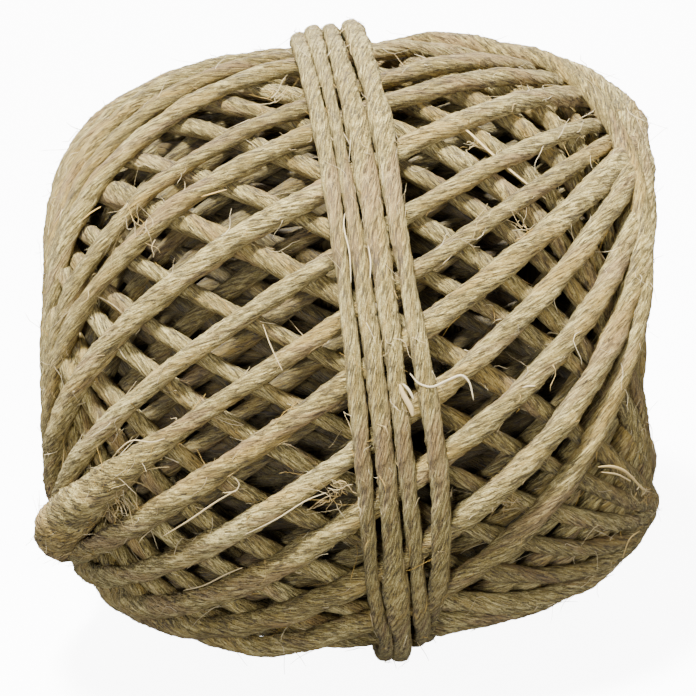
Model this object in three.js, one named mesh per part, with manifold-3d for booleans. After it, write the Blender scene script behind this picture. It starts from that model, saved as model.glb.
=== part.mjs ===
// A ball of natural string, wound as a barrel of slanting turns with a band of four turns round its waist.
// Millimetres, +Z up. The winding axis lies along X, and the ball rests on a small flat spot at z = 0.
// An angle round the ball is counted from the top (+Z) over the front (-Y), in degrees.
import * as THREE from 'three';
import { mergeVertices } from 'three/addons/utils/BufferGeometryUtils.js';
import Module from 'manifold-3d';

// Size of the wound body: its outline is r = BODY_RADIUS * sqrt(1 - (x / OUTLINE_REACH) ^ OUTLINE_POWER).
const BODY_RADIUS = 39.6;
const OUTLINE_REACH = 48.3;
const OUTLINE_POWER = 2.6;

// The string, the waist band and the flat spot that the ball rests on.
const STRING_WIDTH = 2.4;
const BAND_OUTER_RADIUS = 42;
const FLAT_SPOT_DEPTH = 2.5;
const FLAT_SPOT_MIDDLE = 1;
const FLAT_SPOT_HALF_LENGTH = 10;
const FLAT_SPOT_HALF_WIDTH = 6.5;

// The last twelve turns, newest first. "at" is where a turn crosses the waist on its rise to the right,
// and each lean is the angle from the waist that the turn reaches at that end of the ball.
const FRONT_TURNS = [
  { at: 131, leanLeft: 54, leanRight: 52, width: 2.4 },
  { at: 116, leanLeft: 53.5, leanRight: 54, width: 2.5 },
  { at: 101, leanLeft: 53, leanRight: 56, width: 2.5 },
  { at: 89, leanLeft: 57, leanRight: 55, width: 2.4 },
  { at: 76, leanLeft: 58.5, leanRight: 57, width: 3.0 },
  { at: 65, leanLeft: 61, leanRight: 58, width: 2.6 },
  { at: 53.5, leanLeft: 61.5, leanRight: 59, width: 2.4 },
  { at: 39.5, leanLeft: 63, leanRight: 58, width: 2.5 },
  { at: 25, leanLeft: 63.5, leanRight: 62, width: 2.4 },
  { at: 16.5, leanLeft: 62.5, leanRight: 60, width: 2.4 },
  { at: -2, leanLeft: 63, leanRight: 62, width: 2.5 },
  { at: -12, leanLeft: 62, leanRight: 61, width: 2.5 },
];

// The turns wound before those follow each other at an even step.
const OLDER_STEP = 12.4;
const OLDER_LEAN = 60;
const TURNS = 15;

// The ball grows by one layer each time the winding has gone once round it, so a turn's depth under the
// outline follows from its age. The newest turn stands proud of it.
const TURNS_A_LAYER = 14.5;
const LAYER = 2.05;
const NEWEST_PROUD = 0.9;

// Older turns show beyond the newest ones in a wedge at either end of the ball.
const WEDGE_TURNS = 5;
const WEDGE_START = 18;

// A turn stands out from the body between the shoulders, up to this angle along it from the waist.
// Past it the turns lie so close that they close up into the shoulder itself, so its ends sink in there.
const STANDING_ANGLE = 60;
const END_SINK = 2.2;
const END_SINK_POWER = 6;

// The slub, a thick stretch that one turn ends in at the lower left.
const SLUB = { turn: 5, from: -108, thickest: -76, to: -22, width: 5.2 };

// The four strands of the band. The band's middle wanders a little to the sides on its way round.
const BAND_STRANDS = [
  { offset: -3.6, width: 2.4 },
  { offset: -1.3, width: 2.4 },
  { offset: 1.3, width: 2.7 },
  { offset: 4.2, width: 2.7 },
];
const BAND_MIDDLE = { shift: 1, sway: 2.6, swayAt: 115, lay: 40.75 };

// The band presses the turns under it together, into a ring that its four strands lie on.
const BAND_BED = { offset: 0.35, width: 9.5 };

// The body under the standing turns, as a half outline from the axis to the waist. It is set in by the
// deeper value at the waist and by the other at the shoulder, where the turns close up.
const WAIST_DEPTH = 3.4;
const SHOULDER_DEPTH = 0.5;
const CORE_LAST_LATITUDE = 60;
const CORE_LATITUDE_STEP = 15;
const END_DIMPLE = [
  { x: 36.2, r: 0 },
  { x: 36.8, r: 6 },
  { x: 38.8, r: 14 },
];

// Fineness of the faces.
const CORE_SEGMENTS = 24;
const TURN_STEPS = 7;
const WEDGE_STEPS = 4;
const BAND_STEPS = 30;
const STRING_SIDES = 5;

// Section of a string in half widths: a round top, and a foot that goes down into the core and spreads a
// little, so nothing is hollow beneath it. One corner for each side.
const SECTION = [
  { across: 0, out: 1 },
  { across: 0.92, out: 0.35 },
  { across: 1.15, out: -3 },
  { across: -1.15, out: -3 },
  { across: -0.92, out: 0.35 },
];
const BED_SECTION = [
  { across: 0, out: -0.06 },
  { across: 1, out: -0.06 },
  { across: 1, out: -1.1 },
  { across: -1, out: -1.1 },
  { across: -1, out: -0.06 },
];

const COLOUR = 0xb9a888;

const radians = THREE.MathUtils.degToRad;
const lerp = THREE.MathUtils.lerp;

const wasm = await Module();
wasm.setup();

// Radius of the body's outline at a distance x along the axis.
function outlineRadius(x) {
  const reach = Math.min(Math.abs(x) / OUTLINE_REACH, 1);
  return BODY_RADIUS * Math.sqrt(1 - reach ** OUTLINE_POWER);
}

// Distance from the ball's middle to the outline along a ray, found by halving. The latitude is its angle
// from the waist.
function outlineDistance(latitude) {
  let near = 0;
  let far = 2 * OUTLINE_REACH;
  for (let pass = 0; pass < 40; pass += 1) {
    const middle = (near + far) / 2;
    const inside = middle * Math.cos(latitude) < outlineRadius(middle * Math.sin(latitude));
    if (inside) near = middle;
    else far = middle;
  }
  return near;
}

// One row of the winding table for any turn. Turn 0 is the newest, and larger numbers are older.
function turnRow(number) {
  if (number < 0) return turnRow(0);
  if (number < FRONT_TURNS.length) return FRONT_TURNS[number];
  const last = FRONT_TURNS[FRONT_TURNS.length - 1];
  const later = number - FRONT_TURNS.length + 1;
  return { at: last.at - OLDER_STEP * later, leanLeft: OLDER_LEAN, leanRight: OLDER_LEAN, width: STRING_WIDTH };
}

// A turn runs from its back crossing over the left end, the front crossing and the right end to the next
// back crossing. Its plane turns on round the axis as it goes, so one turn leads into the next. The path is
// a stretch of it between two angles, 0 being the front crossing and half a turn the back one.
class TurnPath extends THREE.Curve {
  constructor(number, from, to) {
    super();
    this.number = number;
    this.from = radians(from);
    this.to = radians(to);
  }

  getUtoTmapping(u) {
    return u;
  }

  // The angle along the turn, 0 at the front crossing and a right angle at the right end.
  angleAt(t) {
    return lerp(this.from, this.to, t);
  }

  getPoint(t, target = new THREE.Vector3()) {
    const angle = this.angleAt(t);
    const row = turnRow(this.number);
    const newer = turnRow(this.number - 1);
    const older = turnRow(this.number + 1);
    const leanLeft = angle > Math.PI / 2 ? newer.leanLeft : row.leanLeft;
    const leanRight = angle < -Math.PI / 2 ? older.leanRight : row.leanRight;
    const lean = radians(lerp(leanLeft, leanRight, (1 + Math.sin(angle)) / 2));
    const part = angle / (2 * Math.PI);
    const step = part > 0 ? newer.at - row.at : row.at - older.at;
    const at = radians(row.at + part * step);
    const along = Math.sin(angle) * Math.sin(lean);
    const across = Math.sin(angle) * Math.cos(lean);
    const out = Math.cos(angle);
    const sink = END_SINK * Math.abs(2 * t - 1) ** END_SINK_POWER;
    const depth = (this.number - part) * LAYER / TURNS_A_LAYER - NEWEST_PROUD + row.width / 2;
    const distance = outlineDistance(Math.asin(Math.abs(along))) - depth - sink;
    target.set(along, -out * Math.sin(at) + across * Math.cos(at), out * Math.cos(at) + across * Math.sin(at));
    return target.multiplyScalar(distance);
  }
}

// A strand of the band, once round the waist.
class BandPath extends THREE.Curve {
  constructor(strand) {
    super();
    this.strand = strand;
  }

  getUtoTmapping(u) {
    return u;
  }

  getPoint(t, target = new THREE.Vector3()) {
    const at = 2 * Math.PI * t;
    const sway = BAND_MIDDLE.sway * Math.cos(at - radians(BAND_MIDDLE.swayAt));
    const x = BAND_MIDDLE.shift + sway + this.strand.offset;
    return target.set(x, -BAND_MIDDLE.lay * Math.sin(at), BAND_MIDDLE.lay * Math.cos(at));
  }
}

// A closed solid from any closed three.js geometry.
function solidFrom(geometry) {
  geometry.deleteAttribute('normal');
  geometry.deleteAttribute('uv');
  const merged = mergeVertices(geometry, 1e-4);
  const vertProperties = new Float32Array(merged.attributes.position.array);
  const triVerts = new Uint32Array(merged.index.array);
  return new wasm.Manifold(new wasm.Mesh({ numProp: 3, vertProperties, triVerts }));
}

// A string along a path, with its width given at each point from 0 to 1 along it and the first corner of
// its section turned outwards. An open string gets a flat face at either end.
function stringSolid(path, steps, widthAt, closed, section = SECTION) {
  const tube = new THREE.TubeGeometry(path, steps, 1, STRING_SIDES, closed);
  const position = tube.attributes.position;
  const ring = STRING_SIDES + 1;
  const middle = new THREE.Vector3();
  const outward = new THREE.Vector3();
  const sideways = new THREE.Vector3();
  const point = new THREE.Vector3();
  for (let step = 0; step <= steps; step += 1) {
    const t = closed && step === steps ? 0 : step / steps;
    path.getPoint(t, middle);
    outward.copy(middle).normalize();
    sideways.crossVectors(outward, path.getTangent(t)).normalize();
    for (let side = 0; side < ring; side += 1) {
      const corner = section[side % STRING_SIDES];
      point.copy(outward).multiplyScalar(corner.out).addScaledVector(sideways, corner.across);
      point.multiplyScalar(widthAt(t) / 2).add(middle);
      position.setXYZ(step * ring + side, point.x, point.y, point.z);
    }
  }
  if (!closed) {
    const faces = Array.from(tube.index.array);
    const end = steps * ring;
    for (let side = 1; side < STRING_SIDES - 1; side += 1) {
      faces.push(0, side, side + 1);
      faces.push(end, end + side + 1, end + side);
    }
    tube.setIndex(faces);
  }
  return solidFrom(tube);
}

// Extra width of the slub, a smooth hump over its stretch of one turn.
function slubWidth(number, angle) {
  if (number !== SLUB.turn || angle < SLUB.from || angle > SLUB.to) return 0;
  const rising = angle < SLUB.thickest;
  const reach = rising ? SLUB.thickest - SLUB.from : SLUB.to - SLUB.thickest;
  const away = Math.abs(angle - SLUB.thickest) / reach;
  return (SLUB.width - STRING_WIDTH) * Math.cos(away * Math.PI / 2) ** 2;
}

function stretchSolid(number, from, to, steps) {
  const width = turnRow(number).width;
  const path = new TurnPath(number, from, to);
  const widthAt = (t) => width + slubWidth(number, THREE.MathUtils.radToDeg(path.angleAt(t)));
  return stringSolid(path, steps, widthAt, false);
}

// The stretches of one outer turn that stand out in front and behind.
function turnSolids(number) {
  const front = stretchSolid(number, -STANDING_ANGLE, STANDING_ANGLE, TURN_STEPS);
  const back = stretchSolid(number, 180 - STANDING_ANGLE, 180 + STANDING_ANGLE, TURN_STEPS);
  return [front, back];
}

// The stretches of one older turn in the wedges: at the left end in front, at the right end behind.
function wedgeSolids(number) {
  const left = stretchSolid(number, -STANDING_ANGLE, -WEDGE_START, WEDGE_STEPS);
  const right = stretchSolid(number, 180 - STANDING_ANGLE, 180 - WEDGE_START, WEDGE_STEPS);
  return [left, right];
}

// The wound core: the body's outline set in by the depth of the turns on it, with a dimple in each end.
function coreSolid() {
  const half = END_DIMPLE.map((row) => new THREE.Vector2(row.r, row.x));
  for (let latitude = CORE_LAST_LATITUDE; latitude >= 0; latitude -= CORE_LATITUDE_STEP) {
    const angle = radians(latitude);
    const depth = lerp(WAIST_DEPTH, SHOULDER_DEPTH, (latitude / CORE_LAST_LATITUDE) ** 2);
    const distance = outlineDistance(angle) - depth;
    half.push(new THREE.Vector2(distance * Math.cos(angle), distance * Math.sin(angle)));
  }
  const other = half.slice(0, -1).reverse().map((point) => new THREE.Vector2(point.x, -point.y));
  const outline = half.concat(other).reverse();
  const core = new THREE.LatheGeometry(outline, CORE_SEGMENTS);
  core.rotateZ(-Math.PI / 2);
  return solidFrom(core);
}

// The string pressed flat where the ball rests, which closes the grooves between the strands there. Half of
// this disc is cut away with everything below the resting level.
function pressedSpotSolid(floor) {
  const height = 8;
  const spot = new THREE.CylinderGeometry(1, 1, height, 20);
  spot.rotateX(Math.PI / 2);
  spot.scale(FLAT_SPOT_HALF_WIDTH, FLAT_SPOT_HALF_LENGTH, 1);
  spot.translate(FLAT_SPOT_MIDDLE, 0, floor);
  return solidFrom(spot);
}

// Everything below the level that the ball rests at.
function belowFloorSolid(floor) {
  const size = 4 * BODY_RADIUS;
  const block = new THREE.BoxGeometry(size, size, size);
  block.translate(0, 0, floor - size / 2);
  return solidFrom(block);
}

function ballSolid() {
  const pieces = [coreSolid()];
  for (let number = 0; number < TURNS; number += 1) pieces.push(...turnSolids(number));
  for (let number = TURNS; number < TURNS + WEDGE_TURNS; number += 1) pieces.push(...wedgeSolids(number));
  pieces.push(stringSolid(new BandPath(BAND_BED), BAND_STEPS, () => BAND_BED.width, true, BED_SECTION));
  for (const strand of BAND_STRANDS) {
    pieces.push(stringSolid(new BandPath(strand), BAND_STEPS, () => strand.width, true));
  }
  const floor = FLAT_SPOT_DEPTH - BAND_OUTER_RADIUS;
  pieces.push(pressedSpotSolid(floor));
  let ball = pieces[0];
  for (const piece of pieces.slice(1)) ball = ball.add(piece);
  return ball.subtract(belowFloorSolid(floor));
}

// The ball as a mesh, moved so that the middle of its box is over the origin and its flat spot is at z = 0.
function ballMesh() {
  const mesh = ballSolid().getMesh();
  const geometry = new THREE.BufferGeometry();
  geometry.setAttribute('position', new THREE.BufferAttribute(mesh.vertProperties, 3));
  geometry.setIndex(new THREE.BufferAttribute(mesh.triVerts, 1));
  geometry.computeBoundingBox();
  const middle = geometry.boundingBox.getCenter(new THREE.Vector3());
  geometry.translate(-middle.x, -middle.y, -geometry.boundingBox.min.z);
  geometry.computeVertexNormals();
  const material = new THREE.MeshStandardMaterial({ color: COLOUR, roughness: 0.9, metalness: 0 });
  const ball = new THREE.Mesh(geometry, material);
  ball.name = 'string_ball';
  return ball;
}

const group = new THREE.Group();
group.add(ballMesh());

export default group;
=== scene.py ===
# %% [markdown]
# A ball of string
#
# The ball is one long string, wound in slanting turns over a barrel form and finished with four turns
# round its waist. Its look comes from where the string lies: each turn rests on the turns under it and
# leaves dark gaps between. So this lesson first works out the path of the string, lays it turn by turn
# on a height map of the ball, and only then gives it a round section, a twist, hairs and a finish.
#
# %% Load the model that fixes the size
import math

import bpy
import numpy as np
from mathutils import Matrix, Vector


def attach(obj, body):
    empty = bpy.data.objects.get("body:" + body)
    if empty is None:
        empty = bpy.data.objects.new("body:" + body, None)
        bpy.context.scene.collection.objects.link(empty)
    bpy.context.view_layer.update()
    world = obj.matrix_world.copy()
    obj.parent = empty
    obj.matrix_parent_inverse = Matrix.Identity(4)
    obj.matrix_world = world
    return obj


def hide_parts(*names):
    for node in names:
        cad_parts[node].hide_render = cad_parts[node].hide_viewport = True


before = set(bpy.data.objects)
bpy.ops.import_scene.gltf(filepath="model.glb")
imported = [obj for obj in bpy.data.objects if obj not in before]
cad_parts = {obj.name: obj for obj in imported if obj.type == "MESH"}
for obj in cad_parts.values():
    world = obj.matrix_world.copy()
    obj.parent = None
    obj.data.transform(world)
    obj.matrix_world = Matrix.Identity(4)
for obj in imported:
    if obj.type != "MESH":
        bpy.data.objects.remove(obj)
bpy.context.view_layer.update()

MM = 0.001
rng = np.random.default_rng(7)
show = bpy.context.scene.collection.objects.link

# %% [markdown]
# The camera, the floor and the light
#
# The photograph looks at the ball from the front and a little above, with the winding axis tipped by
# the camera's roll. A long lens keeps the perspective as flat as it is there. The main light is a small
# square lamp high in front, so the top is pale, the underside falls off and the gaps are dark. Two weak
# lamps fill the front from low down, three light the back and the ends, and the floor is white to the
# camera without lighting the ball.
#
# %% Camera
IMAGE = 696
PIXEL = 0.1308 * MM
VIEW_ELEVATION = math.radians(20)
VIEW_ROLL = math.radians(5)
VIEW_DISTANCE = 0.471
BALL_PIXEL = (356, 341)
BODY_RADIUS = 39.6 * MM
BAND_OUTER_RADIUS = 42.0 * MM
FLAT_SPOT_DEPTH = 2.5 * MM
BALL_HEIGHT = BAND_OUTER_RADIUS - FLAT_SPOT_DEPTH

forward = Vector((0, math.cos(VIEW_ELEVATION), -math.sin(VIEW_ELEVATION)))
level_right = Vector((1, 0, 0))
level_up = level_right.cross(forward)
right = math.cos(VIEW_ROLL) * level_right - math.sin(VIEW_ROLL) * level_up
up = math.sin(VIEW_ROLL) * level_right + math.cos(VIEW_ROLL) * level_up
aim = Vector((0, 0, BALL_HEIGHT))
aim += right * (IMAGE / 2 - BALL_PIXEL[0]) * PIXEL - up * (IMAGE / 2 - BALL_PIXEL[1]) * PIXEL

camera_data = bpy.data.cameras.new("photo_view")
camera_data.sensor_width = 36
camera_data.lens = camera_data.sensor_width * VIEW_DISTANCE / (IMAGE * PIXEL)
camera = bpy.data.objects.new("photo_view", camera_data)
camera.matrix_world = Matrix((
    (right.x, up.x, -forward.x, 0), (right.y, up.y, -forward.y, 0), (right.z, up.z, -forward.z, 0),
    (0, 0, 0, 1)))
camera.location = aim - forward * VIEW_DISTANCE
show(camera)
bpy.context.scene.camera = camera
print("lens", round(camera_data.lens), "mm")


# %% Floor, lamps and room
LAMP_TARGET = (0, 0, 0.04)
LAMPS = [  # place and size in metres, power in watts
    dict(name="soft_top", place=(-0.06, -0.20, 0.65), size=0.11, power=19.0),
    dict(name="soft_front", place=(-0.20, -0.60, 0.18), size=0.22, power=3.1),
    dict(name="low_fill", place=(0.34, -0.56, 0.05), size=0.30, power=3.7),
    dict(name="soft_back", place=(0.0, 0.62, 0.34), size=0.40, power=6.0),
    dict(name="left_end", place=(-0.66, 0.10, 0.20), size=0.40, power=1.6),
    dict(name="right_end", place=(0.66, 0.10, 0.20), size=0.40, power=1.6),
]
ROOM_COLOUR = (0.95, 0.97, 1.0, 1)
ROOM_LIGHT = 0.12
FLOOR_REACH = 3.0
FLOOR_CORNERS = [(x * FLOOR_REACH, y * FLOOR_REACH, 0) for x, y in ((-1, -1), (1, -1), (1, 1), (-1, 1))]


def area_lamp(name, place, size, power):
    """A square soft lamp at a place, turned towards the ball."""
    data = bpy.data.lights.new(name, "AREA")
    data.size = size
    data.energy = power
    lamp = bpy.data.objects.new(name, data)
    lamp.location = place
    lamp.rotation_euler = (Vector(LAMP_TARGET) - Vector(place)).to_track_quat("-Z", "Y").to_euler()
    show(lamp)


for row in LAMPS:
    area_lamp(**row)
world = bpy.data.worlds.new("pale_room")
world.use_nodes = True
room = world.node_tree.nodes["Background"]
room.inputs["Color"].default_value = ROOM_COLOUR
room.inputs["Strength"].default_value = ROOM_LIGHT
bpy.context.scene.world = world

floor_mesh = bpy.data.meshes.new("floor")
floor_mesh.from_pydata(FLOOR_CORNERS, [], [(0, 1, 2, 3)])
floor = bpy.data.objects.new("floor", floor_mesh)
show(floor)
floor.visible_diffuse = False
floor.visible_glossy = False

# %% [markdown]
# The form of the ball
#
# The outline is a barrel: its radius round the axis is a waist radius times the root of one minus a
# power of the distance along the axis. Everything is placed by a direction from the ball's middle, so
# one helper finds how far away the outline is along a ray. It halves an interval for all rays at once.
# A short table then lets the outline stand out or fall in a little where the photograph's does.
#
# %% Outline of the barrel
OUTLINE_REACH = 48.3 * MM
OUTLINE_POWER = 2.6
LEFT_END = 41.2 * MM
RIGHT_END = 40.5 * MM
FORM_TILT = math.radians(3.0)
FORM_AXIS = np.array(math.cos(FORM_TILT) * level_right - math.sin(FORM_TILT) * level_up)
END_ROUNDING = 14
HALVINGS = 36
SWELLS = [  # where the outline stands out or falls in: angle in the picture, spread, height in mm
    dict(angle=37, spread=8, swell=1.0),
    dict(angle=61, spread=9, swell=-1.3),
    dict(angle=152, spread=8, swell=-0.8),
    dict(angle=196, spread=9, swell=1.0),
    dict(angle=247, spread=8, swell=-1.3),
    dict(angle=264, spread=7, swell=1.9),
    dict(angle=332, spread=8, swell=1.0),
    dict(angle=352, spread=6, swell=0.7),
]


def outline_distance(direction):
    """Distance from the middle to the outline along these unit directions, found by halving: a point is
    inside while its distance from the axis is under BODY_RADIUS * sqrt(1 - (x / OUTLINE_REACH) ** power).
    Near the ends the flat end faces take over, with a rounded edge from a sum of high powers. The form
    sits a little askew on the winding axis, as in the photograph."""
    sin_latitude = np.clip(direction @ FORM_AXIS, -1, 1)
    endwise = np.abs(sin_latitude)
    sideways = np.sqrt(1 - endwise * endwise)
    near = np.zeros_like(endwise)
    far = np.full_like(endwise, 2 * OUTLINE_REACH)
    for _ in range(HALVINGS):
        middle = (near + far) / 2
        reach = np.minimum(middle * endwise / OUTLINE_REACH, 1)
        inside = middle * sideways < BODY_RADIUS * np.sqrt(1 - reach ** OUTLINE_POWER)
        near = np.where(inside, middle, near)
        far = np.where(inside, far, middle)
    end = np.where(sin_latitude < 0, LEFT_END, RIGHT_END) / np.maximum(endwise, 1e-6)
    even = (near ** -END_ROUNDING + end ** -END_ROUNDING) ** (-1 / END_ROUNDING)
    for row in SWELLS:
        angle = math.radians(row["angle"])
        nearness = direction @ np.array(math.cos(angle) * right + math.sin(angle) * up)
        even = even + row["swell"] * MM * np.exp(2 * (nearness - 1) / math.radians(row["spread"]) ** 2)
    return even


# %% [markdown]
# The path of the string
#
# A turn is a great circle tipped against the waist, and its plane moves on by about twelve degrees with
# each turn. The last twelve turns rise to the right in front, and fourteen older ones cross under them
# there on their way back. The places of all of these are read from the photograph: where each crosses the
# waist, how far it leans to either side, and how thick it is. All others follow at an even step.
#
# %% The winding table
STRING_WIDTH = 2.4 * MM
WINDING = [  # newest first: place round the waist, lean and width to the left and right (degrees, mm)
    dict(at=131, lean_left=54, lean_right=52, wide_left=3.1, wide_right=2.5),
    dict(at=116, lean_left=53.5, lean_right=54, wide_left=3.1, wide_right=2.9),
    dict(at=101, lean_left=53, lean_right=56, wide_left=3.2, wide_right=2.7),
    dict(at=89, lean_left=57, lean_right=55, wide_left=2.8, wide_right=2.7),
    dict(at=76, lean_left=58.5, lean_right=57, wide_left=3.0, wide_right=3.0),
    dict(at=65, lean_left=61, lean_right=58, wide_left=2.6, wide_right=2.1),
    dict(at=53.5, lean_left=61.5, lean_right=59, wide_left=2.5, wide_right=2.1),
    dict(at=39.5, lean_left=63, lean_right=58, wide_left=2.9, wide_right=2.5),
    dict(at=25, lean_left=63.5, lean_right=62, wide_left=2.35, wide_right=2.3),
    dict(at=16.5, lean_left=62.5, lean_right=60, wide_left=2.0, wide_right=2.3),
    dict(at=-2, lean_left=62, lean_right=62, wide_left=2.3, wide_right=2.4),
    dict(at=-12, lean_left=60.5, lean_right=61, wide_left=2.1, wide_right=2.4),
    dict(at=-25, lean_left=59.5, lean_right=57, wide_left=2.1, wide_right=2.5),
    dict(at=-37, lean_left=58.5, lean_right=57, wide_left=2.1, wide_right=2.7),
    dict(at=-48.5, lean_left=58, lean_right=57, wide_left=2.4, wide_right=2.4),
    dict(at=-61.5, lean_left=60, lean_right=57.5, wide_left=2.2, wide_right=2.6),
    dict(at=-74.5, lean_left=58, lean_right=58, wide_left=2.4, wide_right=2.3),
    dict(at=-85.5, lean_left=59, lean_right=58, wide_left=2.1, wide_right=2.2),
    dict(at=-97, lean_left=59, lean_right=57.5, wide_left=2.2, wide_right=2.3),
    dict(at=-110.5, lean_left=57, lean_right=56, wide_left=3.3, wide_right=2.2),
    dict(at=-124, lean_left=56, lean_right=54.5, wide_left=2.3, wide_right=2.4),
    dict(at=-136, lean_left=52, lean_right=57.5, wide_left=2.2, wide_right=2.1),
    dict(at=-148, lean_left=50, lean_right=53.5, wide_left=2.2, wide_right=2.5),
    dict(at=-159, lean_left=50, lean_right=54, wide_left=2.3, wide_right=2.2),
    dict(at=-169, lean_left=51, lean_right=52.7, wide_left=2.2, wide_right=2.6),
    dict(at=-181, lean_left=53, lean_right=52, wide_left=2.3, wide_right=2.2),
]
TURNS = 104
OLDER_STEP = 12.4
STEP_WANDER = 1.6
OLDER_WIDTHS = (2.1, 2.7)
OLDER_LEAN_LEFT = 58
OLDER_LEAN_RIGHT = 55
LEAN_WANDER = 2.5
LEAN_GROWTH = 0.5
LEAN_GROWS_FROM = 40
LEAN_MOST = 82

ages = np.arange(TURNS + 2)
growth = LEAN_GROWTH * np.maximum(ages - LEAN_GROWS_FROM, 0)
even_places = WINDING[-1]["at"] - OLDER_STEP * (ages - len(WINDING) + 1)
tables = dict(
    at=even_places + rng.uniform(-STEP_WANDER, STEP_WANDER, TURNS + 2),
    lean_left=np.minimum(OLDER_LEAN_LEFT + growth, LEAN_MOST) + LEAN_WANDER * np.sin(ages * 0.75),
    lean_right=np.minimum(OLDER_LEAN_RIGHT + growth, LEAN_MOST) + LEAN_WANDER * np.sin(ages * 0.62 + 2),
    wide_left=rng.uniform(*OLDER_WIDTHS, TURNS + 2),
    wide_right=rng.uniform(*OLDER_WIDTHS, TURNS + 2),
)
for age, row in enumerate(WINDING):
    for column, value in row.items():
        tables[column][age] = value
print("turns in all:", TURNS)


# %% Directions along the string
def row_of(column, number):
    """The winding's value for turn numbers, where the turns newer than the newest repeat it."""
    return tables[column][np.clip(number, 0, TURNS + 1)]


def place_of(number):
    """Place round the waist, in degrees, where a turn crosses it."""
    newest = tables["at"][0] - OLDER_STEP * np.minimum(number, 0)
    return np.where(number < 0, newest, row_of("at", number))


def from_both_sides(number, angle, left, right):
    """A value that goes from its left to its right column with the sine of the angle along a turn. Past
    the ends of the ball the neighbouring turn's value takes over, so it has no step."""
    left_value = np.where(angle > np.pi / 2, row_of(left, number - 1), row_of(left, number))
    right_value = np.where(angle < -np.pi / 2, row_of(right, number + 1), row_of(right, number))
    share = (1 + np.sin(angle)) / 2
    return left_value * (1 - share) + right_value * share


def string_width(along):
    """Thickness of the string for places along it."""
    crossing = np.round(along)
    number = (-crossing).astype(int)
    return from_both_sides(number, 2 * np.pi * (along - crossing), "wide_left", "wide_right") * MM


def string_direction(along):
    """Unit direction from the middle for places along the string, counted in turns up to the newest
    front crossing at 0. Within a turn the direction is cos(a) * out + sin(a) * (sin(lean) * axis +
    cos(lean) * across), where out and across turn on round the axis as the string goes."""
    crossing = np.round(along)
    number = (-crossing).astype(int)
    part = along - crossing
    angle = 2 * np.pi * part
    here = place_of(number)
    step = np.where(part > 0, place_of(number - 1) - here, here - place_of(number + 1))
    at = np.radians(here + part * step)
    lean = np.radians(from_both_sides(number, angle, "lean_left", "lean_right"))
    rise = np.sin(angle) * np.cos(lean)
    out = np.cos(angle)
    return np.stack([np.sin(angle) * np.sin(lean),
                     -out * np.sin(at) + rise * np.cos(at),
                     out * np.cos(at) + rise * np.sin(at)], axis=-1)


# %% [markdown]
# Laying the string
#
# A real ball grows by one string width each time the winding has gone once round, which takes fourteen
# and a half turns. So the depth of a turn under the outline follows from its age, and that alone puts
# every crossing in the right order over most of the ball. Near the shoulders neighbouring turns cross at
# a slant, and there a height map helps: each turn in order looks up what lies under it, rises over that
# by a bounded amount, and is pulled taut between the highest supports.
#
# %% Depth by age and the height map
TURNS_A_LAYER = 14.5
LAYER = 2.05 * MM
NEWEST_PROUD = 0.9 * MM
LAID_TURNS = 44
DEEP_STEP = 0.05 * MM
MAP_ROUND = 620
MAP_ALONG = 330
SQUASH = 0.84
MOST_RISE = 0.9 * MM
MOST_SINK = 0.3 * MM
SUPPORT_SPAN = 1.5 * MM
STIFFNESS = 3.2 * MM
TAUTNESS = 0.75
SAMPLE = 0.35 * MM

height = np.zeros((MAP_ALONG, MAP_ROUND))


def settled_distance(along, direction):
    """Distance from the ball's middle that a turn of this age has on average."""
    age = -along
    depth = np.minimum(age, LAID_TURNS) * LAYER / TURNS_A_LAYER + np.maximum(age - LAID_TURNS, 0) * DEEP_STEP
    return outline_distance(direction) - STRING_WIDTH / 2 + NEWEST_PROUD - depth


def unit(vectors):
    """The same directions with a length of 1."""
    return vectors / np.linalg.norm(vectors, axis=-1, keepdims=True)


def map_index(points):
    """Row and column of the height map for points: the row from the latitude, the column from the angle
    round the axis."""
    direction = unit(points)
    row = (np.arcsin(np.clip(direction[..., 0], -1, 1)) / np.pi + 0.5) * MAP_ALONG
    column = (np.arctan2(direction[..., 1], direction[..., 2]) / (2 * np.pi)) % 1 * MAP_ROUND
    return np.clip(row.astype(int), 0, MAP_ALONG - 1), column.astype(int) % MAP_ROUND


def sideways_of(points, closed=False):
    """Unit vector across the path, level with the ball's surface."""
    tangent = np.gradient(points, axis=0)
    if closed:
        tangent = np.roll(points, -1, axis=0) - np.roll(points, 1, axis=0)
    return unit(np.cross(unit(points), tangent))


def window(values, count, kind):
    """Running maximum or smooth average over a window of samples, with the ends held."""
    padded = np.pad(values, count, mode="edge")
    views = np.lib.stride_tricks.sliding_window_view(padded, 2 * count + 1)
    if kind == "highest":
        return views.max(axis=1)
    weights = np.exp(-2 * (np.arange(-count, count + 1) / count) ** 2)
    return views @ (weights / weights.sum())


def taut(angle, distance):
    """The string pulled tight over its supports. A support is dropped where a straight span passes over
    it. In polar form the span from a to b is 1/r = (sin(b - t) / ra + sin(t - a) / rb) / sin(b - a)."""
    inverse = 1 / distance
    kept = []
    for i in range(len(angle)):
        while len(kept) > 1:
            a, b = kept[-2:]
            ahead = math.sin(angle[i] - angle[b]) * inverse[a]
            behind = math.sin(angle[b] - angle[a]) * inverse[i]
            if inverse[b] * math.sin(angle[i] - angle[a]) < ahead + behind:
                break
            kept.pop()
        kept.append(i)
    kept = np.array(kept)
    after = np.clip(np.searchsorted(kept, np.arange(len(angle)), side="right"), 1, len(kept) - 1)
    a, b = kept[after - 1], kept[after]
    span = np.sin(angle[b] - angle) * inverse[a] + np.sin(angle - angle[a]) * inverse[b]
    return np.sin(angle[b] - angle[a]) / span


# %% Lay the outer turns in order
ACROSS = np.linspace(-1, 1, 11)
OVERLAP = 0.12


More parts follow.
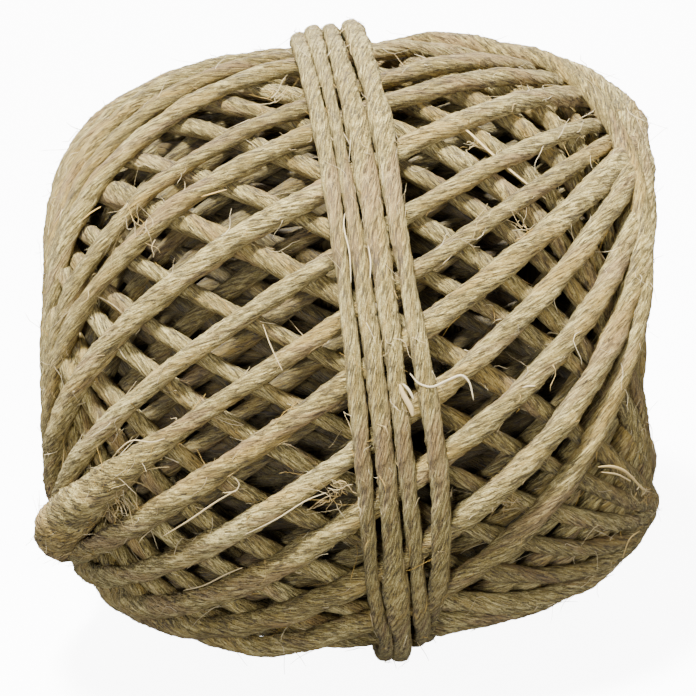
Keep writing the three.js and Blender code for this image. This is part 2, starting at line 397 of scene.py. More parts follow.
def footprint(points, width):
    """The cells of the height map across a string, and how far its round section reaches over them."""
    offsets = ACROSS * width[:, None] / 2
    spots = points[:, None, :] + sideways_of(points)[:, None, :] * offsets[:, :, None]
    bulge = np.sqrt(1 - ACROSS ** 2) * width[:, None] / 2
    return map_index(spots), bulge


def support_under(points, width):
    """Distance from the middle at which a string of this width would rest on the height map."""
    cells, bulge = footprint(points, width)
    return (height[cells] + bulge * SQUASH).max(axis=1)


def add_to_map(points, width):
    """Raise the height map to the top of a string along these points."""
    cells, bulge = footprint(points, width)
    np.maximum.at(height, cells, np.linalg.norm(points, axis=-1)[:, None] + bulge)


samples_a_turn = int(round(2 * np.pi * BODY_RADIUS / SAMPLE))
reach = int(OVERLAP * samples_a_turn)
laid_along = []
laid_shift = []
last_tail = None
for turn in range(LAID_TURNS, -1, -1):
    along = -turn + np.arange(-samples_a_turn // 2 - reach, samples_a_turn // 2 + reach) / samples_a_turn
    direction = string_direction(along)
    width = string_width(along)
    settled = settled_distance(along, direction)
    resting = support_under(direction * settled[:, None], width)
    resting = window(resting, int(SUPPORT_SPAN / SAMPLE), "highest")
    resting = settled + np.clip(resting - settled, -MOST_SINK, MOST_RISE)
    pulled = taut(2 * np.pi * along, resting)
    distance = window(resting + (pulled - resting) * TAUTNESS, int(STIFFNESS / SAMPLE), "smooth")
    shift = distance - settled
    if last_tail is not None:
        fade = np.linspace(0, 1, 2 * reach)
        shift[:2 * reach] = last_tail * (1 - fade) + shift[:2 * reach] * fade
    last_tail = shift[-2 * reach:].copy()
    points = direction * (settled + shift)[:, None]
    add_to_map(points[:-2 * reach], width[:-2 * reach])
    laid_along.append(along[:-2 * reach])
    laid_shift.append(shift[:-2 * reach])
laid_along = np.concatenate(laid_along)
laid_shift = np.concatenate(laid_shift)
print("laid", LAID_TURNS + 1, "turns, which rise by up to", round(float(laid_shift.max()) / MM, 2), "mm")


def string_distance(along):
    """Distance of the string's middle line, and its direction."""
    direction = string_direction(along)
    shift = np.interp(along, laid_along, laid_shift, left=0)
    return settled_distance(along, direction) + shift, direction


# %% [markdown]
# The surface of the string
#
# The string is a tube swept along the path: a grid of rings, each turned square to the path. Its section
# isn't quite round. Three shallow lobes, an oval and small lumps follow the twist, its sides are a little
# flat, the width wanders between thick and thin, and slubs swell it here and there. The tube's own
# coordinates go into a UV map: the angle round the string, unwound by the twist, and the length along it.
# Every pattern of fibres follows from those two.
#
# %% Tube along a path
TWIST_PITCH = 24 * MM
LOBES = 3
LOBE_SIZE = 0.02
OVAL_SIZE = 0.055
OVAL_DRIFT = 0.62
OVAL_START = 1.7
LUMP_SIZE = 0.016
FLATNESS = 0.034
FLAT_WANDER = 5.3 * MM
FLAT_SWAY = 0.9
LUMPS = [dict(around=2 + k % 4, pitch=(1.3 + 0.47 * k) * MM, start=2.4 * k) for k in range(9)]


def wavering(length, seed, waves=9, longest=60 * MM, shortest=3.5 * MM):
    """A smooth wandering value about 0 along a length: a sum of sines of falling wavelength."""
    draw = np.random.default_rng(seed)
    total = np.zeros_like(length)
    for index in range(waves):
        wave = longest * (shortest / longest) ** (index / (waves - 1))
        size = (wave / longest) ** 0.35
        phase = 2 * np.pi * length / wave * draw.uniform(0.8, 1.2) + draw.uniform(0, 2 * np.pi)
        total += size * np.sin(phase)
    return total / math.sqrt(waves)


def tube_grid(points, half_width, outward, sides, length, closed=False):
    """Rings of a string: ring point = middle + half width * lobes * (cos(v) * outward + sin(v) * side)."""
    side = sideways_of(points, closed)
    angle = np.linspace(0, 2 * np.pi, sides, endpoint=False)
    twist = 2 * np.pi * length / TWIST_PITCH
    unwound = angle[None, :] + twist[:, None]
    oval = np.cos(2 * unwound + twist[:, None] * OVAL_DRIFT + OVAL_START)
    lobes = 1 + LOBE_SIZE * np.cos(LOBES * unwound) + OVAL_SIZE * oval
    for lump in LUMPS:
        phase = 2 * np.pi * length / lump["pitch"] + lump["start"]
        lobes += LUMP_SIZE * np.cos(lump["around"] * unwound + phase[:, None])
    lobes -= FLATNESS * np.cos(4 * angle[None, :] + np.sin(length / FLAT_WANDER)[:, None] * FLAT_SWAY)
    radius = half_width[:, None] * lobes
    ring = np.cos(angle)[None, :, None] * outward[:, None, :]
    ring = ring + np.sin(angle)[None, :, None] * side[:, None, :]
    return points[:, None, :] + radius[:, :, None] * ring


def tube_faces(tube):
    """The four corners of each face of an open or closed tube, and their places in the fibre map."""
    rings, sides = tube["grid"].shape[:2]
    last = rings if tube["closed"] else rings - 1
    ring = np.repeat(np.arange(last), sides)
    side = np.tile(np.arange(sides), last)
    next_ring = (ring + 1) % rings
    next_side = (side + 1) % sides
    faces = np.stack([ring * sides + side, ring * sides + next_side,
                      next_ring * sides + next_side, next_ring * sides + side], axis=-1)
    length = tube["length"]
    start = length[ring]
    stop = start + (length[1] - length[0])
    corners = [(side, start), (side + 1, start), (side + 1, stop), (side, stop)]
    places = [np.stack([turn / sides + reached / TWIST_PITCH, reached], axis=-1) for turn, reached in corners]
    return faces, np.stack(places, axis=1).reshape(-1, 2)


def tube_mesh(name, tubes, material):
    """One mesh from several tubes, lifted to the ball's height and flat on the floor. Each tube is a dict
    with its grid of points, length, tone, shade and whether it closes on itself."""
    all_points = []
    all_faces = []
    all_places = []
    values = dict(tone=[], shade=[])
    caps = []
    base = 0
    for tube in tubes:
        rings, sides = tube["grid"].shape[:2]
        faces, places = tube_faces(tube)
        all_points.append(tube["grid"].reshape(-1, 3))
        all_faces.append(faces + base)
        all_places.append(places)
        for column, collected in values.items():
            collected.append(np.repeat(tube[column], sides))
        if not tube["closed"]:
            caps.append(base + np.arange(sides)[::-1])
            caps.append(base + (rings - 1) * sides + np.arange(sides))
        base += rings * sides
    points = np.concatenate(all_points)
    points[:, 2] = np.maximum(points[:, 2] + BALL_HEIGHT, 0)
    quads = np.concatenate(all_faces)
    loops = np.concatenate([quads.ravel()] + caps)
    totals = np.concatenate([np.full(len(quads), 4), [len(cap) for cap in caps]]).astype(int)
    starts = np.concatenate([[0], np.cumsum(totals)[:-1]])
    mesh = bpy.data.meshes.new(name)
    mesh.vertices.add(len(points))
    mesh.vertices.foreach_set("co", points.astype(np.float32).ravel())
    mesh.loops.add(len(loops))
    mesh.loops.foreach_set("vertex_index", loops.astype(np.int32))
    mesh.polygons.add(len(totals))
    mesh.polygons.foreach_set("loop_start", starts.astype(np.int32))
    mesh.polygons.foreach_set("use_smooth", np.ones(len(totals), bool))
    places = np.concatenate(all_places)
    uv = np.zeros((len(loops), 2), np.float32)
    uv[:len(places)] = places
    mesh.uv_layers.new(name="fibre").data.foreach_set("uv", uv.ravel())
    for column, collected in values.items():
        layer = mesh.attributes.new(column, "FLOAT", "POINT")
        layer.data.foreach_set("value", np.concatenate(collected).astype(np.float32))
    mesh.update(calc_edges=True)
    mesh.validate()
    mesh.materials.append(material)
    piece = bpy.data.objects.new(name, mesh)
    show(piece)
    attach(piece, "root")
    print(name, len(mesh.polygons), "faces")
    return piece

# %% [markdown]
# The finish of the string
#
# The string is undyed plant fibre, spun loosely and once: pale straw fibres with browner ones among
# them, running round the string at the slope of the twist, dry and nearly without gloss. The colour
# could be painted as an image, but a pattern worked out from the string's own coordinates follows every
# turn. Noise is stretched along the fibres, mixed between named colours, and the same noise lifts the
# surface a little. A small class lets the shader's sums be written as plain expressions.
#
# %% Sockets as expressions
def put(tree, socket, value):
    """Link a wire into a socket, or set the socket to a plain value."""
    if isinstance(value, Wire):
        tree.links.new(value.socket, socket)
    else:
        socket.default_value = value


class Wire:
    """One output socket of a node tree. Sums with + - * and powers add Math nodes to the tree."""

    def __init__(self, tree, socket):
        self.tree = tree
        self.socket = socket

    def combine(self, operation, values, clamp=False):
        node = self.tree.nodes.new("ShaderNodeMath")
        node.operation = operation
        node.use_clamp = clamp
        for socket, value in zip(node.inputs, values):
            put(self.tree, socket, value)
        return Wire(self.tree, node.outputs[0])

    def math(self, operation):
        return self.combine(operation, (self,))

    def __add__(self, other):
        return self.combine("ADD", (self, other))

    def __mul__(self, other):
        return self.combine("MULTIPLY", (self, other))

    def __sub__(self, other):
        return self.combine("SUBTRACT", (self, other))

    def __rsub__(self, other):
        return self.combine("SUBTRACT", (other, self))

    def clamped(self):
        return self.combine("ADD", (self, 0.0), clamp=True)

    def between(self, low, high):
        """0 at the low value, 1 at the high one, and even in between."""
        return ((self - low) * (1.0 / (high - low))).clamped()


MIX_INPUTS = dict(factor=0, low=6, high=7)
MIX_OUTPUT = 2
ATTRIBUTE_VALUE = 2


class Finish:
    """A material under construction: its tree, and one method that adds any node."""

    def __init__(self, name):
        self.material = bpy.data.materials.new(name)
        self.material.use_nodes = True
        self.tree = self.material.node_tree
        self.surface = self.tree.nodes["Principled BSDF"]

    def node(self, kind, settings, **inputs):
        """Add a node of a type, set its settings first, then values or links by socket name."""
        node = self.tree.nodes.new(kind)
        for name, value in settings.items():
            setattr(node, name, value)
        for name, value in inputs.items():
            put(self.tree, node.inputs[name], value)
        return node

    def wire(self, node, output=0):
        return Wire(self.tree, node.outputs[output])

    def mix(self, factor, low, high):
        """A colour between two others, each a wire or three light values."""
        node = self.node("ShaderNodeMix", dict(data_type="RGBA", blend_type="MIX"))
        colours = [value if isinstance(value, Wire) else (*value, 1) for value in (low, high)]
        for index, value in zip(MIX_INPUTS.values(), (factor, *colours)):
            put(self.tree, node.inputs[index], value)
        return self.wire(node, MIX_OUTPUT)

    def noise(self, vector, scale, detail, roughness):
        settings = dict(noise_dimensions="3D")
        return self.wire(self.node("ShaderNodeTexNoise", settings, Vector=vector, Scale=scale,
                                   Detail=detail, Roughness=roughness))

    def vector(self, x, y, z):
        return self.wire(self.node("ShaderNodeCombineXYZ", {}, X=x, Y=y, Z=z))

    def attribute(self, name):
        """The value that every point of the mesh carries under this name."""
        return self.wire(self.node("ShaderNodeAttribute", dict(attribute_name=name)), ATTRIBUTE_VALUE)

    def feed(self, **inputs):
        """Feed the surface by socket name, with an underscore for each blank."""
        for name, value in inputs.items():
            put(self.tree, self.surface.inputs[name.replace("_", " ")], value)


def rgb(red, green, blue):
    """A colour given as it looks on screen, turned into the light values a shader uses."""
    return tuple(((level / 255 + 0.055) / 1.055) ** 2.4 for level in (red, green, blue))


# %% String finish
STRAW_PALE = rgb(241, 223, 155)
STRAW = rgb(150, 131, 73)
FIBRE_BROWN = rgb(86, 68, 35)
FIBRE_GOLD = rgb(176, 142, 66)
FIBRE_PINK = rgb(150, 116, 82)
# dark bark flecks for the specks, and also the painted shade in the creases
BARK_AND_SHADE_DARK = rgb(46, 33, 16)
# painted shade: the dark brown that the deeper layers and the heart are mixed towards
PAINTED_SHADE_DARK = rgb(38, 28, 14)
HAIR_PALE = rgb(204, 187, 146)
LONG_STRETCH = 60.0
SHORT_STRETCH = 150.0
CREASE_STRETCH = 85.0
GRAIN_STRETCH = 620.0
CREASE_SHARPNESS = 16.0
BUMP_HEIGHT = 0.56 * MM


def string_finish(name):
    """Fibre pattern on (cos, sin) of the unwound angle round the string and the length along it, so it has
    no seam and slants with the twist. Long fibres give the streaks, short ones the wrinkles and specks.
    The creases are darkened as painted shade, and each deeper layer is darkened by its shade value as
    painted shade."""
    finish = Finish(name)
    uv = finish.node("ShaderNodeUVMap", dict(uv_map="fibre"))
    split = finish.node("ShaderNodeSeparateXYZ", {}, Vector=finish.wire(uv))
    turn = finish.wire(split, 0) * (2 * math.pi)
    length = finish.wire(split, 1)
    round_x = turn.math("COSINE")
    round_y = turn.math("SINE")
    long_fibre = finish.vector(round_x, round_y, length * LONG_STRETCH)
    short_fibre = finish.vector(round_x, round_y, length * SHORT_STRETCH)
    crease_fibre = finish.vector(round_x, round_y, length * CREASE_STRETCH)
    grain_fibre = finish.vector(round_x, round_y, length * GRAIN_STRETCH)
    fine = finish.noise(long_fibre, 11.0, 3.0, 0.65)
    strands = finish.noise(long_fibre, 3.0, 2.0, 0.5)
    wrinkles = finish.noise(short_fibre, 4.6, 4.0, 0.7)
    specks = finish.noise(short_fibre, 7.0, 1.0, 0.5)
    grain = finish.noise(grain_fibre, 9.0, 2.0, 0.7)
    ridge = finish.noise(crease_fibre, 4.2, 2.0, 0.55) - 0.5
    creases = (1.0 - ridge.math("ABSOLUTE") * CREASE_SHARPNESS).clamped() * wrinkles.between(0.58, 0.46)
    cloudy = finish.noise(finish.vector(round_x * 0.4, round_y * 0.4, length * 60), 1.0, 2.0, 0.5)
    stain = finish.noise(finish.vector(round_x * 0.5, round_y * 0.5, length * 80 + 40.0), 1.0, 2.0, 0.5)
    light = fine.between(0.34, 0.66) * 0.28 + wrinkles.between(0.38, 0.62) * 0.34
    light = light + grain.between(0.36, 0.64) * 0.26 + strands.between(0.3, 0.7) * 0.14
    light = (light + finish.attribute("tone") * 0.25).clamped()
    colour = finish.mix(light.between(0.0, 0.5), FIBRE_BROWN, STRAW)
    colour = finish.mix(light.between(0.5, 1.0), colour, STRAW_PALE)
    colour = finish.mix(cloudy.between(0.52, 0.66) * 0.42, colour, FIBRE_GOLD)
    colour = finish.mix(stain.between(0.54, 0.68) * 0.45, colour, FIBRE_PINK)
    # painted shade: the creases are darkened as if shade fell in them
    colour = finish.mix(creases * 0.75, colour, BARK_AND_SHADE_DARK)
    colour = finish.mix(specks.between(0.66, 0.71) * 0.8, colour, BARK_AND_SHADE_DARK)
    # painted shade: deeper layers and the heart are mixed towards a dark brown by their shade value
    colour = finish.mix(finish.attribute("shade"), PAINTED_SHADE_DARK, colour)
    lift = fine * 0.45 + wrinkles * 0.42 + grain * 0.34 + strands * 0.08 - creases * 0.45
    bump = finish.node("ShaderNodeBump", {}, Height=lift, Strength=1.0, Distance=BUMP_HEIGHT)
    finish.feed(Base_Color=colour, Roughness=light * -0.12 + 0.92, Normal=finish.wire(bump),
                Sheen_Weight=0.08, Sheen_Roughness=0.5, Specular_IOR_Level=0.2)
    return finish.material


natural_string = string_finish("natural_string")

loose_finish = Finish("pale_fibre")
loose_colour = loose_finish.mix(loose_finish.attribute("tone").clamped(), FIBRE_GOLD, HAIR_PALE)
loose_finish.feed(Base_Color=loose_colour, Roughness=0.7)
pale_fibre = loose_finish.material

floor_finish = Finish("pale_floor")
floor_finish.feed(Base_Color=(0.83, 0.83, 0.82, 1), Roughness=0.85, Emission_Color=(1, 1, 1, 1),
                  Emission_Strength=9.0)
floor.data.materials.append(floor_finish.material)

# %% [markdown]
# The slanting turns
#
# The outer fifteen turns cover the ball once, and the fifteen under them show in the gaps, so these get
# fine rings. The deeper ones are only glimpsed in the dark, so they take fewer, and the deepest close the
# two ends. All are tubes along one string. One turn carries a thick slub, and the newest is a little slack.
#
# %% Sweep the turns
SLUB = dict(turn=5, start=-122, thickest=-80, end=-30, extra=4.3 * MM)
SLACK = dict(turn=0, start=-56, thickest=-27, end=-8, extra=0.45 * MM)
SLUB_LIFT = 0.12
WIDTH_WAVER = 0.10
TONE_WAVER = 0.35
# painted shade: the share of colour kept by turns of each age, darker for each deeper layer
SHADE_AGES = [14, 16, 29, 31, 44, 46]
SHADE_LEFT = [1, 0.88, 0.88, 0.5, 0.5, 0.25]
END_LIGHT = [0.86, 0.94]
RUNS = [  # newest and oldest turn of each piece, rings for a turn and sides of a ring
    dict(name="newest_turns", newest=0, oldest=7, rings=560, sides=16),
    dict(name="outer_turns", newest=8, oldest=14, rings=560, sides=16),
    dict(name="under_turns", newest=15, oldest=29, rings=400, sides=14),
    dict(name="third_turns", newest=30, oldest=44, rings=200, sides=12),
    dict(name="deep_turns", newest=45, oldest=74, rings=140, sides=9),
    dict(name="inner_turns", newest=75, oldest=TURNS - 1, rings=120, sides=8),
]


def swelling(along, spot):
    """A raised cosine over one stretch of one turn: it climbs to its thickest place and falls again."""
    degrees = (along + spot["turn"]) * 360
    rising = degrees < spot["thickest"]
    spread = np.where(rising, spot["thickest"] - spot["start"], spot["end"] - spot["thickest"])
    away = np.clip(np.abs(degrees - spot["thickest"]) / spread, 0, 1)
    return spot["extra"] * np.cos(away * np.pi / 2) ** 2


def shade_of(along, direction):
    """Painted shade: the share of its own colour that the string keeps, all of it outside and near the ends,
    less in each deeper layer, where light would hardly reach.
    """
    layer = np.interp(-along, SHADE_AGES, SHADE_LEFT)
    near_end = np.interp(np.abs(direction[:, 0]), END_LIGHT, [0, 1])
    return layer + (1 - layer) * near_end


def turns_tube(run):
    """One open tube from the old end to the new end of a run of turns."""
    count = (run["oldest"] - run["newest"] + 1) * run["rings"] + 1
    along = np.linspace(-run["oldest"] - 0.5, -run["newest"] + 0.5, count)
    distance, direction = string_distance(along)
    steps = np.linalg.norm(np.diff(direction * distance[:, None], axis=0), axis=1)
    length = np.concatenate([[0], np.cumsum(steps)])
    width = string_width(along) * (1 + WIDTH_WAVER * wavering(length, 11 + run["newest"]))
    width = width + swelling(along, SLUB)
    distance = distance + swelling(along, SLACK) + swelling(along, SLUB) * SLUB_LIFT
    points = direction * distance[:, None]
    grid = tube_grid(points, width / 2, unit(points), run["sides"], length)
    tone = TONE_WAVER * wavering(length, 31 + run["newest"], 4, 420 * MM, 60 * MM)
    return dict(grid=grid, length=length, tone=tone, shade=shade_of(along, direction), closed=False)


pieces = [tube_mesh(run["name"], [turns_tube(run)], natural_string) for run in RUNS]

# %% [markdown]
# The band round the waist
#
# Four turns go straight round the waist over everything else. Their places across the ball are read
# from the photograph at a few angles, and the unseen side closes smoothly. They part a little towards
# the front, and some carry slubs.
#
# %% Band strands
BAND_LAY = 40.75 * MM
BAND_ANGLES = [-20, 0, 23, 32, 48, 58, 68, 91, 104, 116, 126, 140, 180, 230, 290]
BAND_STRANDS = [
    dict(width=2.15, lift=0.0,
         x=[-4.2, -3.8, -2.6, -1.9, -1.2, -1.0, -0.7, -0.5, -0.6, -0.7, -0.4, 0.9, -1.0, -3.0, -4.2]),
    dict(width=2.4, lift=0.1,
         x=[-2.2, -1.9, -0.6, -0.1, 0.8, 1.3, 1.7, 2.2, 2.2, 2.2, 2.1, 2.7, 1.4, -0.6, -1.9]),
    dict(width=2.15, lift=0.0,
         x=[0.0, 0.4, 1.8, 2.5, 3.2, 3.8, 4.2, 4.6, 4.8, 5.0, 5.0, 5.3, 3.9, 1.8, 0.5]),
    dict(width=2.5, lift=0.1,
         x=[2.7, 3.4, 4.9, 5.5, 5.9, 6.5, 7.1, 8.6, 8.4, 7.8, 6.9, 6.2, 5.9, 4.3, 3.1]),
]
BAND_SLUBS = [
    dict(strand=0, at=60, reach=18, extra=-0.4),
    dict(strand=0, at=110, reach=24, extra=-0.4),
    dict(strand=1, at=32, reach=42, extra=-0.85),
    dict(strand=1, at=121, reach=15, extra=1.15),
    dict(strand=2, at=40, reach=55, extra=0.75),
    dict(strand=2, at=114, reach=12, extra=-0.35),
    dict(strand=3, at=2, reach=24, extra=0.5),
    dict(strand=3, at=31, reach=12, extra=0.6),
    dict(strand=3, at=60, reach=14, extra=-0.4),
]
BAND_SINKS = [
    dict(strand=0, at=-14, reach=46, depth=1.0),
    dict(strand=1, at=-14, reach=46, depth=0.5),
    dict(strand=2, at=-14, reach=46, depth=0.4),
    dict(strand=3, at=-14, reach=46, depth=0.5),
    dict(strand=2, at=150, reach=30, depth=1.6),
    dict(strand=3, at=146, reach=34, depth=3.5),
]
BAND_STEPS = 600
BAND_SIDES = 20
BAND_BLEND = 12
RIPPLE = 0.05


def closed_curve(angles, knots, values):
    """A smooth closed curve through values at some angles: linear steps, then an average over a window."""
    wide = np.concatenate([np.array(knots) - 360, knots, np.array(knots) + 360])
    tripled = np.tile(values, 3)
    fine_angles = np.arange(-180, 540, 1.0)
    steps = np.interp(fine_angles, wide, tripled)
    return np.interp(angles, fine_angles, window(steps, BAND_BLEND, "smooth"))


def bumps_of(table, column, index, angles):
    """Sum of the raised cosines that a table gives to one strand."""
    total = np.zeros(len(angles))
    for row in table:
        if row["strand"] == index:
            away = np.abs((angles - row["at"] + 180) % 360 - 180) / row["reach"]
            total += row[column] * np.cos(np.clip(away, 0, 1) * np.pi / 2) ** 2
    return total


def band_tube(index, strand):
    """One turn of the band as a closed tube."""
    angles = np.linspace(0, 360, BAND_STEPS, endpoint=False)
    x = closed_curve(angles, BAND_ANGLES, strand["x"]) * MM
    radians = np.radians(angles)
    length = radians * BAND_LAY
    ripple = sum(np.sin(radians * k + index * 1.7 + k) / k for k in (3, 7, 12, 19)) * RIPPLE
    width = (strand["width"] + bumps_of(BAND_SLUBS, "extra", index, angles)) * (1 + ripple) * MM
    lay = BAND_LAY + strand["lift"] * MM + (np.sin(radians * 5 + index) * 0.12 + ripple * 0.4) * MM
    lay -= bumps_of(BAND_SINKS, "depth", index, angles) * MM
    points = np.stack([x, -lay * np.sin(radians), lay * np.cos(radians)], axis=-1)
    outward = np.stack([np.zeros_like(x), -np.sin(radians), np.cos(radians)], axis=-1)
    grid = tube_grid(points, width / 2, outward, BAND_SIDES, length, closed=True)
    return dict(grid=grid, length=length, tone=0.1 * np.sin(radians * 2 + index * 2.1),
                shade=np.ones(BAND_STEPS), closed=True)


band_tubes = [band_tube(index, strand) for index, strand in enumerate(BAND_STRANDS)]
pieces.append(tube_mesh("waist_band", band_tubes, natural_string))

# %% [markdown]
# Loose fibres
#
# Plant string is never clean: short hairs stand off every turn, and a few longer ends curl free. Each
# hair is a thin three-sided tube that starts on the string, runs with the twist, and lifts off a little.
# Hundreds of them go into one mesh at once. The curls, straw bits and the flake have places read from
# the photograph, as rows of pixels that are cast back onto the ball.
#
# %% Hairs on the string
HAIR_WIDTH = 0.11 * MM
HAIR_STEPS = 6
HAIR_SIDES = 3
HAIR_MAP_STEP = 0.013
HAIRS_ON_TURNS = 2600
HAIRS_ON_BAND = 500
SLUB_HAIRS = 220


def hair_tubes(roots, along, outward, lengths, lifts, draw, widths, tone, bending=0.45):
    """Many hairs at once. A hair leaves its root along the given direction, bends to one side and lifts
    off with the square of the length."""
    part = np.linspace(0, 1, HAIR_STEPS)[None, :, None]
    side = np.cross(outward, along)
    bend = draw.uniform(-bending, bending, (len(roots), 1, 1))
    curl = draw.uniform(-0.25, 0.25, (len(roots), 1, 1))
    lengths = lengths[:, None, None]
    path = roots[:, None, :] + along[:, None, :] * part * lengths
    path += side[:, None, :] * (bend * part ** 2 + curl * np.sin(part * 5)) * lengths
    path += outward[:, None, :] * (lifts[:, None, None] * part ** 2 * lengths)
    thickness = widths[:, None, None] / 2 * (1 - 0.6 * part)
    corners = []
    for index in range(HAIR_SIDES):
        angle = 2 * math.pi * index / HAIR_SIDES
        ring = math.cos(angle) * outward[:, None, :] + math.sin(angle) * side[:, None, :]
        corners.append(path + thickness * ring)
    grids = np.stack(corners, axis=2)
    steps = lengths[:, 0, 0] / HAIR_STEPS
    tubes = []
    for index in range(len(roots)):
        length = np.arange(HAIR_STEPS) * steps[index] + index * HAIR_MAP_STEP
        tubes.append(dict(grid=grids[index], length=length, tone=np.full(HAIR_STEPS, tone[index]),
                          shade=np.ones(HAIR_STEPS), closed=False))
    return tubes


def hairs_on(points, across, outward, radius, count, draw, longest):
    """Roots spread over the outer half of a string: ring angle v from the outward direction."""
    pick = draw.integers(2, len(points) - 2, count)
    v = draw.uniform(-1.4, 1.4, count)
    normal = np.cos(v)[:, None] * outward[pick] + np.sin(v)[:, None] * across[pick]
    forward_way = unit(points[pick + 1] - points[pick])
    slant = draw.normal(0.42, 0.3, count)[:, None] * np.where(draw.random(count) < 0.8, 1, -1.5)[:, None]
    along = forward_way - np.cross(forward_way, normal) * slant
    along = unit(along * np.where(draw.random(count) < 0.5, 1, -1)[:, None])
    roots = points[pick] + normal * (radius[pick] * 0.98)[:, None]
    lengths = draw.uniform(0.8, 1.0, count) * (0.9 * MM + draw.random(count) ** 3 * longest)
    lifts = draw.uniform(0.0, 0.35, count)
    widths = HAIR_WIDTH * draw.uniform(0.6, 1.4, count)
    tone = draw.uniform(-0.2, 1.3, count)
    return hair_tubes(roots, along, normal, lengths, lifts, draw, widths, tone)


draw = np.random.default_rng(19)
along = np.linspace(-29.5, 0.5, 9000)
distance, direction = string_distance(along)
turn_points = direction * distance[:, None]
turn_radius = string_width(along) / 2 + swelling(along, SLUB) / 2
turn_across = sideways_of(turn_points)
turn_hairs = hairs_on(turn_points, turn_across, direction, turn_radius, HAIRS_ON_TURNS, draw, 5 * MM)
hairs_a_strand = HAIRS_ON_BAND // len(BAND_STRANDS)
band_hairs = []
for tube in band_tubes:
    ring = tube["grid"]
    ring_middle = ring.mean(axis=1)
    ring_out = unit(ring_middle * (0, 1, 1))
    ring_radius = np.linalg.norm(ring[:, 0] - ring_middle, axis=1)
    across = sideways_of(ring_middle, closed=True)
    band_hairs += hairs_on(ring_middle, across, ring_out, ring_radius, hairs_a_strand, draw, 4 * MM)
slub_pick = np.flatnonzero(swelling(along, SLUB) > 0.8 * MM)
slub_part = slice(slub_pick[0], slub_pick[-1])
slub_hairs = hairs_on(turn_points[slub_part], turn_across[slub_part], direction[slub_part],
                      turn_radius[slub_part], SLUB_HAIRS, draw, 6 * MM)


# %% Fibres with places of their own
TUFTS = [  # pixels of the photograph, number of hairs, spread in pixels, longest hair in mm
    dict(at=(145, 230), hairs=14, spread=13, longest=3.4),
    dict(at=(275, 96), hairs=12, spread=10, longest=3.4),
    dict(at=(336, 493), hairs=24, spread=12, longest=3.6),
    dict(at=(525, 225), hairs=10, spread=10, longest=2.6),
    dict(at=(470, 147), hairs=9, spread=8, longest=2.4),
    dict(at=(392, 594), hairs=30, spread=11, longest=1.8),
    dict(at=(502, 503), hairs=18, spread=10, longest=2.6),
    dict(at=(118, 498), hairs=50, spread=26, longest=3.0),
    dict(at=(640, 492), hairs=6, spread=9, longest=2.6),
    dict(at=(108, 585), hairs=14, spread=14, longest=2.8),
]
LOOSE_ENDS = [  # pixels that the fibre passes, width and height over the ball in mm, tone
    dict(pixels=[(409, 372), (418, 384), (432, 388), (448, 380), (462, 374), (470, 382), (474, 402)],
         width=0.34, proud=2.6, tone=1.2),
    dict(pixels=[(398, 382), (404, 396), (411, 408), (413, 417)], width=0.8, proud=2.2, tone=0.5),
    dict(pixels=[(402, 383), (409, 390), (414, 400)], width=0.4, proud=2.7, tone=1.0),
    dict(pixels=[(597, 467), (612, 466), (626, 471), (646, 493)], width=0.42, proud=1.4, tone=0.35),
    dict(pixels=[(600, 472), (618, 474), (632, 482)], width=0.26, proud=1.5, tone=0.5),
    dict(pixels=[(641, 530), (629, 538), (622, 560)], width=0.34, proud=1.2, tone=0.3),
    dict(pixels=[(114, 454), (131, 439), (152, 443), (166, 438)], width=0.2, proud=2.4, tone=0.7),
    dict(pixels=[(160, 538), (190, 520), (214, 503), (238, 489)], width=0.26, proud=1.6, tone=0.6),
    dict(pixels=[(181, 591), (204, 586), (226, 574), (244, 567)], width=0.22, proud=1.6, tone=0.7),
    dict(pixels=[(221, 493), (236, 492), (240, 484), (234, 477)], width=0.2, proud=2.0, tone=0.7),
    dict(pixels=[(262, 322), (270, 345), (284, 374)], width=0.18, proud=1.4, tone=0.6),
    dict(pixels=[(240, 537), (276, 520), (306, 500), (328, 492)], width=0.2, proud=1.6, tone=0.8),
    dict(pixels=[(345, 212), (343, 226), (350, 252), (351, 286)], width=0.2, proud=2.9, tone=0.9),
    dict(pixels=[(368, 244), (371, 262), (370, 280)], width=0.2, proud=2.9, tone=1.0),
    dict(pixels=[(522, 388), (528, 386), (536, 386)], width=0.3, proud=1.4, tone=0.8),
    dict(pixels=[(80, 222), (90, 213), (102, 206)], width=0.26, proud=1.2, tone=0.05),
    dict(pixels=[(200, 197), (214, 193), (228, 189)], width=0.22, proud=1.3, tone=0.1),
    dict(pixels=[(444, 112), (467, 130), (506, 167), (550, 202)], width=0.4, proud=-1.0, tone=0.5),
]
END_STEPS = 24
END_SIDES = 6
END_FLATNESS = 0.5
END_MAP_STEP = 0.5 * MM
RAY_HALVINGS = 30


def on_ball(pixel, proud):
    """The point, from the middle of the ball, that a pixel shows at a height over the outline: a ray leaves
    the camera through the pixel, and halving finds where it enters the form."""
    ray = forward + right * ((pixel[0] - IMAGE / 2) * PIXEL / VIEW_DISTANCE)
    ray -= up * ((pixel[1] - IMAGE / 2) * PIXEL / VIEW_DISTANCE)
    start = np.array(camera.location) - np.array([0, 0, BALL_HEIGHT])
    near = 0.8 * VIEW_DISTANCE
    far = VIEW_DISTANCE
    for _ in range(RAY_HALVINGS):
        middle = (near + far) / 2
        place = start + np.array(ray) * middle
        size = np.linalg.norm(place)
        if size < outline_distance(place / size) + proud:
            far = middle
        else:
            near = middle
    return place


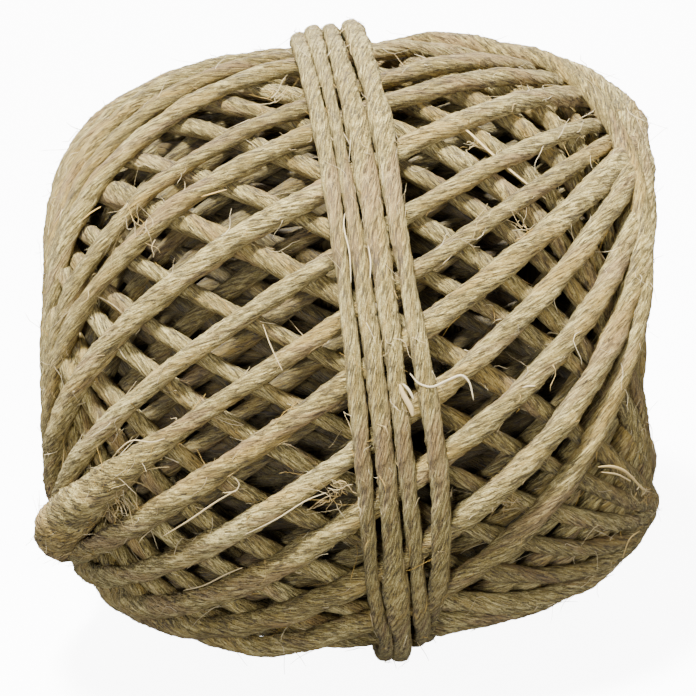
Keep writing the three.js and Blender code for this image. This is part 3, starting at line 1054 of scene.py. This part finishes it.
def tuft_tubes(tuft, draw):
    """Short hairs that stand up in all directions round one place."""
    count = tuft["hairs"]
    pixels = np.array(tuft["at"]) + draw.normal(0, tuft["spread"] / 2, (count, 2))
    roots = np.array([on_ball(pixel, NEWEST_PROUD * 0.6) for pixel in pixels])
    outward = unit(roots)
    along = unit(np.cross(outward, draw.normal(0, 1, (count, 3))))
    lengths = draw.uniform(0.35, 1, count) * tuft["longest"] * MM
    lifts = draw.uniform(0.05, 0.6, count)
    widths = HAIR_WIDTH * draw.uniform(0.7, 1.5, count)
    tone = draw.uniform(0.0, 1.0, count)
    return hair_tubes(roots, along, outward, lengths, lifts, draw, widths, tone, bending=1.1)


def end_tube(row):
    """A loose fibre through its pixels, thickest in the middle and thin at both ends."""
    knots = np.array([on_ball(pixel, row["proud"] * MM) for pixel in row["pixels"]])
    numbers = np.arange(len(knots))
    places = np.linspace(0, numbers[-1], END_STEPS)
    dense = np.linspace(0, numbers[-1], 4 * END_STEPS)
    blend = 2 * END_STEPS // numbers[-1]
    columns = []
    for column in knots.T:
        smooth = window(np.interp(dense, numbers, column), blend, "smooth")
        columns.append(np.interp(places, dense, smooth))
    path = np.stack(columns, axis=-1)
    outward = unit(path)
    side = sideways_of(path)
    half = row["width"] * MM / 2 * np.maximum(np.sin(np.linspace(0.08, 3.0, END_STEPS)), 0.1) ** 0.5
    angle = np.linspace(0, 2 * np.pi, END_SIDES, endpoint=False)[None, :, None]
    ring = np.cos(angle) * outward[:, None, :] * END_FLATNESS + np.sin(angle) * side[:, None, :]
    length = np.arange(END_STEPS) * END_MAP_STEP
    return dict(grid=path[:, None, :] + half[:, None, None] * ring, length=length,
                tone=np.full(END_STEPS, row["tone"]), shade=np.ones(END_STEPS), closed=False)


tufts = [tube for tuft in TUFTS for tube in tuft_tubes(tuft, draw)]
loose_ends = [end_tube(row) for row in LOOSE_ENDS]
all_hairs = turn_hairs + band_hairs + slub_hairs + tufts + loose_ends
pieces.append(tube_mesh("hairs", all_hairs, pale_fibre))

# %% [markdown]
# The heart of the ball
#
# Nothing of the middle can be seen but darkness between the deepest turns. One closed form of the
# barrel's own outline, set well in, fills it, so no light passes through the ball. Its colour is
# painted shade, nearly as dark as the deepest layers.
#
# %% Heart
HEART_DEPTH = 9.5 * MM
HEART_RINGS = 38
HEART_SIDES = 64
# painted shade: the heart keeps only this share of the string colour and is otherwise painted dark brown
HEART_SHADE = 0.15
HEART_MAP_STEP = 2 * MM

latitudes = np.linspace(-np.pi / 2, np.pi / 2, HEART_RINGS + 2)[1:-1]
angles = np.linspace(0, 2 * np.pi, HEART_SIDES, endpoint=False)
meridian = np.stack([np.sin(latitudes), 0 * latitudes, np.cos(latitudes)], axis=-1)
reach_out = outline_distance(meridian) - HEART_DEPTH
heart_r = (reach_out * np.cos(latitudes))[:, None]
heart_x = np.repeat((reach_out * np.sin(latitudes))[:, None], HEART_SIDES, axis=1)
heart_y = -heart_r * np.sin(angles)
heart_z = heart_r * np.cos(angles)
heart_tube = dict(grid=np.stack([heart_x, heart_y, heart_z], axis=-1),
                  length=np.arange(HEART_RINGS) * HEART_MAP_STEP, tone=np.zeros(HEART_RINGS),
                  shade=np.full(HEART_RINGS, HEART_SHADE), closed=False)
pieces.append(tube_mesh("heart", [heart_tube], natural_string))

# %% Stand in for the wound form
for piece in pieces:
    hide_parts("string_ball")
